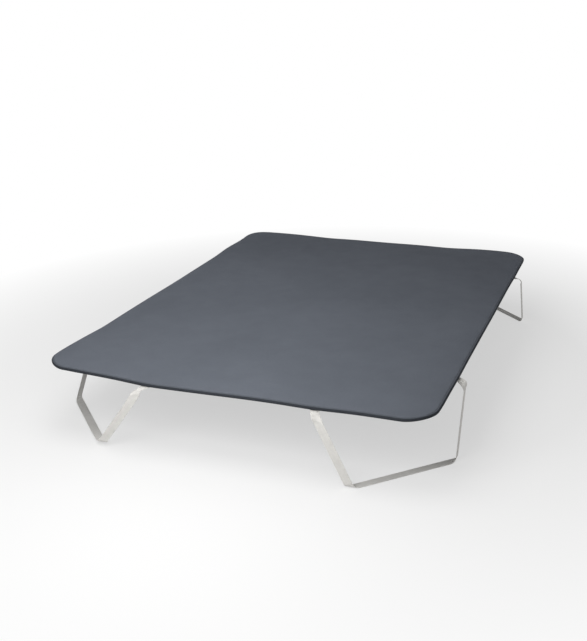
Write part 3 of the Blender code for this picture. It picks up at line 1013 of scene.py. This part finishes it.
class OBJECT_OT_grounding_mat_patches(bpy.types.Operator):
    """The leatherette patches under the sewn ends, with their own stitches and the straps'"""

    bl_idname = "object.grounding_mat_patches"
    bl_label = "Patches"

    def execute(self, context):
        scene = context.scene
        pad, strap = scene.mat_pad, scene.mat_straps
        leather = finish_once(leatherette_finish, "mat_leatherette", pad.leather)
        dark = finish_once(thread_finish, "mat_thread", scene.mat_seam.thread_colour)
        white = finish_once(thread_finish, "strap_thread", strap.thread_colour)
        plate_rows, strap_rows = [], []
        for corner in CORNERS:
            for edge in ("end", "side"):
                plate_rows.append(self.patch(scene, f"{corner}_{edge}_patch", leather))
                strap_rows += self.crosses(corner, edge, pad, strap)
        for name, rows, finish in (
            ("patch_stitches", plate_rows, dark), ("strap_stitches", strap_rows, white)
        ):
            points, faces = joined(rows)
            lay_piece(scene, name, points, [faces], finish)
        return {"FINISHED"}

    @staticmethod
    def patch(scene, node, finish):
        """Builds one patch with softened edges, and gives its row of stitches."""
        low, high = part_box(node)
        middle = np.array([(low.x + high.x) / 2, (low.y + high.y) / 2, 0])
        outline = high.x - low.x, high.y - low.y, scene.mat_straps.patch_corner
        tone = scene.mat_pad.hem_tone + PATCH_LIGHTER
        section = [
            (0.0030, high.z), (0.0008, high.z), (0.0002, high.z - 0.00012),
            (0.0, high.z - 0.0003), (0.0, low.z + 0.0003), (0.0002, low.z + 0.00010),
            (0.0008, low.z), (PATCH_SEAM - 0.0007, low.z + 0.00004),
            (PATCH_SEAM, low.z + PATCH_GROOVE), (PATCH_SEAM + 0.0007, low.z + 0.00004),
            (0.0045, low.z),
        ]
        points, faces = pad_shell(outline, section, (grid_line(3, 8), grid_line(3, 8)))
        lay_piece(
            scene, node.replace("_patch", "_anchor"), points + middle, [faces], finish,
            nodes=(node,), slot="leatherette", tone=np.full(len(points), tone),
        )
        lines = grid_line(8, 8), grid_line(8, 8)
        path = outline_path(outline, PATCH_SEAM, lines, low.z + PATCH_GROOVE) + middle
        return stitch_row(path, (0, 0, -1), *PATCH_STITCH, closed=True)

    @staticmethod
    def crosses(corner, edge, pad, strap):
        """Rows of stitches of the box and cross that hold one sewn end."""
        level = sewn_level(strap)
        half, _ = strap_route(strap, level, root_of(corner, strap))
        heading = half[1] - half[0]
        heading /= np.linalg.norm(heading)
        across = np.array([-heading[1], heading[0], 0.0]) * (strap.width - BOX_MARGIN) / 2
        start = half[0] + heading * BOX_START
        start[2] -= strap.thickness / 2
        far = start + heading * BOX_LENGTH
        a, b, c, d = start - across, far - across, far + across, start + across
        rows = []
        for ends in ((a, b), (b, c), (c, d), (d, a), (a, c), (b, d)):
            ends = np.array(ends)
            if edge == "side":
                ends = ends[:, [1, 0, 2]]
            rows.append(stitch_row(to_mat(ends, corner, pad), (0, 0, -1), *STRAP_STITCH))
        return rows


# The press stud


# The stud from its base down to its tip, as (radius, drop). The base's radius is an inset from the
# stud's own, and the tip's drops are heights over its end.
STUD_BASE = (
    (0.0006, 0.0), (0.0002, 0.00008), (0.0, 0.00035), (0.0001, 0.00062), (0.0004, 0.00076),
    (0.0009, 0.00078), (0.0016, 0.00066), (0.0022, 0.00070),
)
STUD_NECK = (
    (0.0035, 0.00085), (0.0033, 0.0012), (0.00325, 0.0018), (0.0034, 0.0023), (0.00375, 0.0027),
    (0.0039, 0.0031), (0.00385, 0.0035), (0.0036, 0.0040), (0.0032, 0.00435),
)
STUD_TIP = (
    (0.0026, 0.0001), (0.0020, 0.0), (0.0014, 0.00005), (0.0011, 0.0003), (0.0004, 0.00035),
)
# Radius of the post's shank, and of the small flat in the middle of its ends.
SHANK, MIDDLE = 0.0020, 0.0004


def turned_shell(profile, steps, middle, bored=False):
    """A shell turned about a vertical axis through the middle, closed at its two small ends.

    Where it is bored, a wall joins its ends instead.
    """
    turn = np.arange(steps) * 2 * math.pi / steps
    radius, z = np.array(profile).T
    x, y = (radius[:, None] * part for part in (np.cos(turn), np.sin(turn)))
    points = np.stack([middle[0] + x, middle[1] + y, np.repeat(z[:, None], steps, 1)], -1)
    index = np.arange(len(profile) * steps).reshape(len(profile), steps)
    ends = [ring_quads(index[:1], index[-1:])] if bored else [index[-1:, ::-1], index[:1]]
    return points.reshape(-1, 3), [ring_quads(index[1:], index[:-1]), *ends]


class OBJECT_OT_grounding_mat_stud(bpy.types.Operator):
    """The nickel press stud for the earth lead, its post and its fibre washer"""

    bl_idname = "object.grounding_mat_stud"
    bl_label = "Press stud"

    def execute(self, context):
        stud = context.scene.mat_stud
        low, high = STUD_LOW, STUD_HIGH
        middle = ((low.x + high.x) / 2, (low.y + high.y) / 2)
        nickel = finish_once(nickel_finish, "mat_nickel", stud.nickel)
        fibre = finish_once(fibre_finish, "mat_fibre", stud.fibre)
        washer_low, washer_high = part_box("snap_washer")
        for name, profile, node, slot, finish in (
            ("press_stud", self.stud(low, high), "snap_stud", "nickel", nickel),
            ("stud_post", self.post(washer_high.z), "snap_post", "nickel", nickel),
            ("stud_washer", self.washer(washer_low, washer_high), "snap_washer", "fibre", fibre),
        ):
            points, faces = turned_shell(profile, stud.steps, middle, node == "snap_washer")
            lay_piece(
                context.scene, name, points, faces, finish, sharp=50, nodes=(node,), slot=slot
            )
        return {"FINISHED"}

    @staticmethod
    def stud(low, high):
        """The stud's profile, from its flat top on the hem down to its tip."""
        base = (high.x - low.x) / 2
        return (
            [(MIDDLE, high.z)]
            + [(base - inset, high.z - drop) for inset, drop in STUD_BASE]
            + [(radius, high.z - drop) for radius, drop in STUD_NECK]
            + [(radius, low.z + height) for radius, height in STUD_TIP]
        )

    @staticmethod
    def post(washer_top):
        """The riveted post through the hem, with its flange on the washer."""
        low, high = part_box("snap_post")
        flange, top, foot = (high.x - low.x) / 2, high.z, low.z
        return [
            (MIDDLE, top), (flange - 0.0006, top), (flange - 0.0001, top - 0.0002),
            (flange, top - 0.0005), (flange - 0.0002, washer_top + 0.00005),
            (SHANK + 0.0003, washer_top + 0.00003), (SHANK, washer_top - 0.0003),
            (SHANK, foot + 0.0006), (SHANK - 0.0002, foot + 0.0002), (0.0012, foot),
            (MIDDLE, foot),
        ]

    @staticmethod
    def washer(low, high):
        """A flat ring whose outer edges are broken."""
        wide, bore = (high.x - low.x) / 2, SHANK + 0.0002
        return [
            (bore, high.z), (wide - 0.0001, high.z), (wide, high.z - 0.0001),
            (wide, low.z + 0.0001), (wide - 0.0001, low.z), (bore, low.z),
        ]


# The stage


# The width of the camera's sensor in millimetres, and how far it sees.
SENSOR_WIDTH, CLIP_END = 36.0, 200.0
# The camera's axes, right, up and back, are the columns of its turn.
CAMERA_TURN = Matrix((
    (0.929140, -0.097370, 0.356680), (0.368150, 0.332730, -0.868190), (-0.034140, 0.937980, 0.345)
))
# The low lamps: the part of the fill light that each has and its place, the size of all, and the
# point that they face.
FILL_LAMPS = (
    ("front_lamp", 0.4, (0.8, -3.8, 0.1)), ("right_lamp", 0.8, (3.6, 0.2, 0.1)),
    ("head_lamp", 1.4, (0.0, 4.2, 0.1)), ("left_lamp", 0.8, (-3.6, 0.2, 0.1)),
)
FILL_SIZE, FILL_TARGET = (2.2, 0.45), (0.0, 0.0, -0.08)
# Half the floor's side, and the distances from the middle between which it turns white.
FLOOR_HALF, FLOOR_FADE = 60.0, (1.2, 2.4)


def area_lamp(name, watts, size, place, target, mirrored=True):
    """A rectangular lamp that faces its target. It shows in gloss only where mirrored is true."""
    lamp = bpy.data.lights.new(name, "AREA")
    lamp.energy, lamp.shape = watts, "RECTANGLE"
    lamp.size, lamp.size_y = size
    holder = bpy.data.objects.new(name, lamp)
    holder.visible_camera, holder.visible_glossy = False, mirrored
    bpy.context.scene.collection.objects.link(holder)
    place, target = np.array(place, float), np.array(target, float)
    back = (place - target) / np.linalg.norm(place - target)
    right = np.cross((0, 0, 1), back)
    right /= np.linalg.norm(right)
    turned = Matrix(np.stack([right, np.cross(back, right), back], 1).tolist()).to_4x4()
    turned.translation = place
    holder.matrix_world = turned


def seen_directly(nodes):
    """1 for rays from the camera and for reflections and refractions, and 0 for light."""
    camera = nodes.node("ShaderNodeLightPath", output="Is Camera Ray")
    glossy, through = camera.other("Is Glossy Ray"), camera.other("Is Transmission Ray")
    return camera.maths("MAXIMUM", camera.maths("MAXIMUM", camera, glossy), through)


class OBJECT_OT_grounding_mat_stage(bpy.types.Operator):
    """The camera, the pale floor, the white surroundings and the lamps"""

    bl_idname = "object.grounding_mat_stage"
    bl_label = "Stage"

    def execute(self, context):
        stage = context.scene.mat_stage
        self.camera(context, stage)
        self.floor(stage)
        self.world(context, stage)
        for name, watts, size, place, target in (
            ("key_lamp", stage.key_power, (1.2, 0.8), (0.0, -1.9, 0.9), (0.0, -0.9, 0.0)),
            ("top_lamp", stage.top_power, (1.4, 1.0), (-0.2, -0.9, 1.5), (-0.1, -0.4, 0.0)),
            ("side_lamp", stage.side_power, (1.0, 1.0), (-1.0, 0.2, 1.1), (-0.5, 0.2, 0.0)),
        ):
            area_lamp(name, watts, size, place, target)
        for name, part, place in FILL_LAMPS:
            area_lamp(
                name, part * stage.fill_power, FILL_SIZE, place, FILL_TARGET, mirrored=False
            )
        context.scene.view_settings.view_transform = "Standard"
        return {"FINISHED"}

    @staticmethod
    def camera(context, stage):
        data = bpy.data.cameras.new("camera")
        data.lens, data.sensor_width, data.clip_end = stage.lens, SENSOR_WIDTH, CLIP_END
        camera = bpy.data.objects.new("camera", data)
        context.scene.collection.objects.link(camera)
        camera.rotation_mode = "QUATERNION"
        camera.location = stage.camera_place
        camera.rotation_quaternion = CAMERA_TURN.to_quaternion()
        context.scene.camera = camera

    @staticmethod
    def floor(stage):
        """One large square that takes the mat's soft shadow and turns white further off.

        Its underside isn't drawn, so the mat can be seen from below.
        """
        points = FLOOR_HALF * np.array([(-1.0, -1, 0), (1, -1, 0), (1, 1, 0), (-1, 1, 0)])
        points[:, 2] = -stage.floor_drop
        finish = Finish("floor", Roughness=0.9, Specular_IOR_Level=0.1)
        mottle = finish.noise(3.0, 2.0)
        tint = tuple(stage.floor_colour)
        finish.put("Base Color", mottle.between(0.3, 0.7).blend(shifted(tint, 0.995), tint))
        glow = finish.node("ShaderNodeEmission", None, {"Color": (1, 1, 1), "Strength": 1.0})
        away = finish.node(
            "ShaderNodeVectorMath", {"operation": "LENGTH"}, {0: finish.place()}, output=1
        )
        seen = seen_directly(finish) * away.between(*FLOOR_FADE, stage.floor_glow, 1.0)
        lit = Shade(finish, finish.shader.outputs[0])
        mixed = finish.node("ShaderNodeMixShader", None, {0: seen, 1: lit, 2: glow})
        below = finish.node("ShaderNodeNewGeometry", output=6)
        clear = finish.node("ShaderNodeBsdfTransparent")
        mixed = finish.node("ShaderNodeMixShader", None, {0: below, 1: mixed, 2: clear})
        finish.fill(finish.tree.nodes["Material Output"].inputs["Surface"], mixed)
        floor = add_piece("floor", points, [np.array([[0, 1, 2, 3]])], finish.material)

    @staticmethod
    def world(context, stage):
        """White where it is seen, and the even light's strength where it lights."""
        world = bpy.data.worlds.new("surroundings")
        context.scene.world = world
        world.use_nodes = True
        nodes = Nodes(world.node_tree)
        background = world.node_tree.nodes["Background"]
        strength = seen_directly(nodes) * (1.0 - stage.world_light) + stage.world_light
        nodes.fill(background.inputs["Color"], (1, 1, 1))
        nodes.fill(background.inputs["Strength"], strength)


# The panel and the run


class VIEW3D_PT_grounding_mat(bpy.types.Panel):
    """Lists the pieces and their settings"""

    bl_idname = "VIEW3D_PT_grounding_mat"
    bl_label = "Grounding Mat"
    bl_space_type = "VIEW_3D"
    bl_region_type = "UI"
    bl_category = "Grounding Mat"

    def draw(self, context):
        for operator in OPERATORS:
            self.layout.operator(operator.bl_idname)
        for label, name in SETTINGS.items():
            box = self.layout.box()
            box.label(text=label)
            group = getattr(context.scene, name)
            for key in group.__annotations__:
                box.prop(group, key)


OPERATORS = (
    OBJECT_OT_grounding_mat_stage,
    OBJECT_OT_grounding_mat_cover,
    OBJECT_OT_grounding_mat_seam,
    OBJECT_OT_grounding_mat_grip,
    OBJECT_OT_grounding_mat_straps,
    OBJECT_OT_grounding_mat_patches,
    OBJECT_OT_grounding_mat_stud,
)
SETTINGS = {
    "Pad": "mat_pad", "Seam": "mat_seam", "Straps": "mat_straps", "Stud": "mat_stud",
    "Stage": "mat_stage",
}
GROUPS = (MatPadSettings, SeamSettings, StrapSettings, StudSettings, StageSettings)
CLASSES = (*GROUPS, *OPERATORS, VIEW3D_PT_grounding_mat)


def register():
    for made in CLASSES:
        bpy.utils.register_class(made)
    for name, group in zip(SETTINGS.values(), GROUPS):
        setattr(bpy.types.Scene, name, PointerProperty(type=group))


def unregister():
    for name in SETTINGS.values():
        delattr(bpy.types.Scene, name)
    for made in reversed(CLASSES):
        bpy.utils.unregister_class(made)


def main():
    register()
    bpy.ops.object.grounding_mat_stage()
    bpy.ops.object.grounding_mat_cover()
    bpy.ops.object.grounding_mat_seam()
    bpy.ops.object.grounding_mat_grip()
    bpy.ops.object.grounding_mat_straps()
    bpy.ops.object.grounding_mat_patches()
    bpy.ops.object.grounding_mat_stud()


if __name__ == "__main__":
    main()
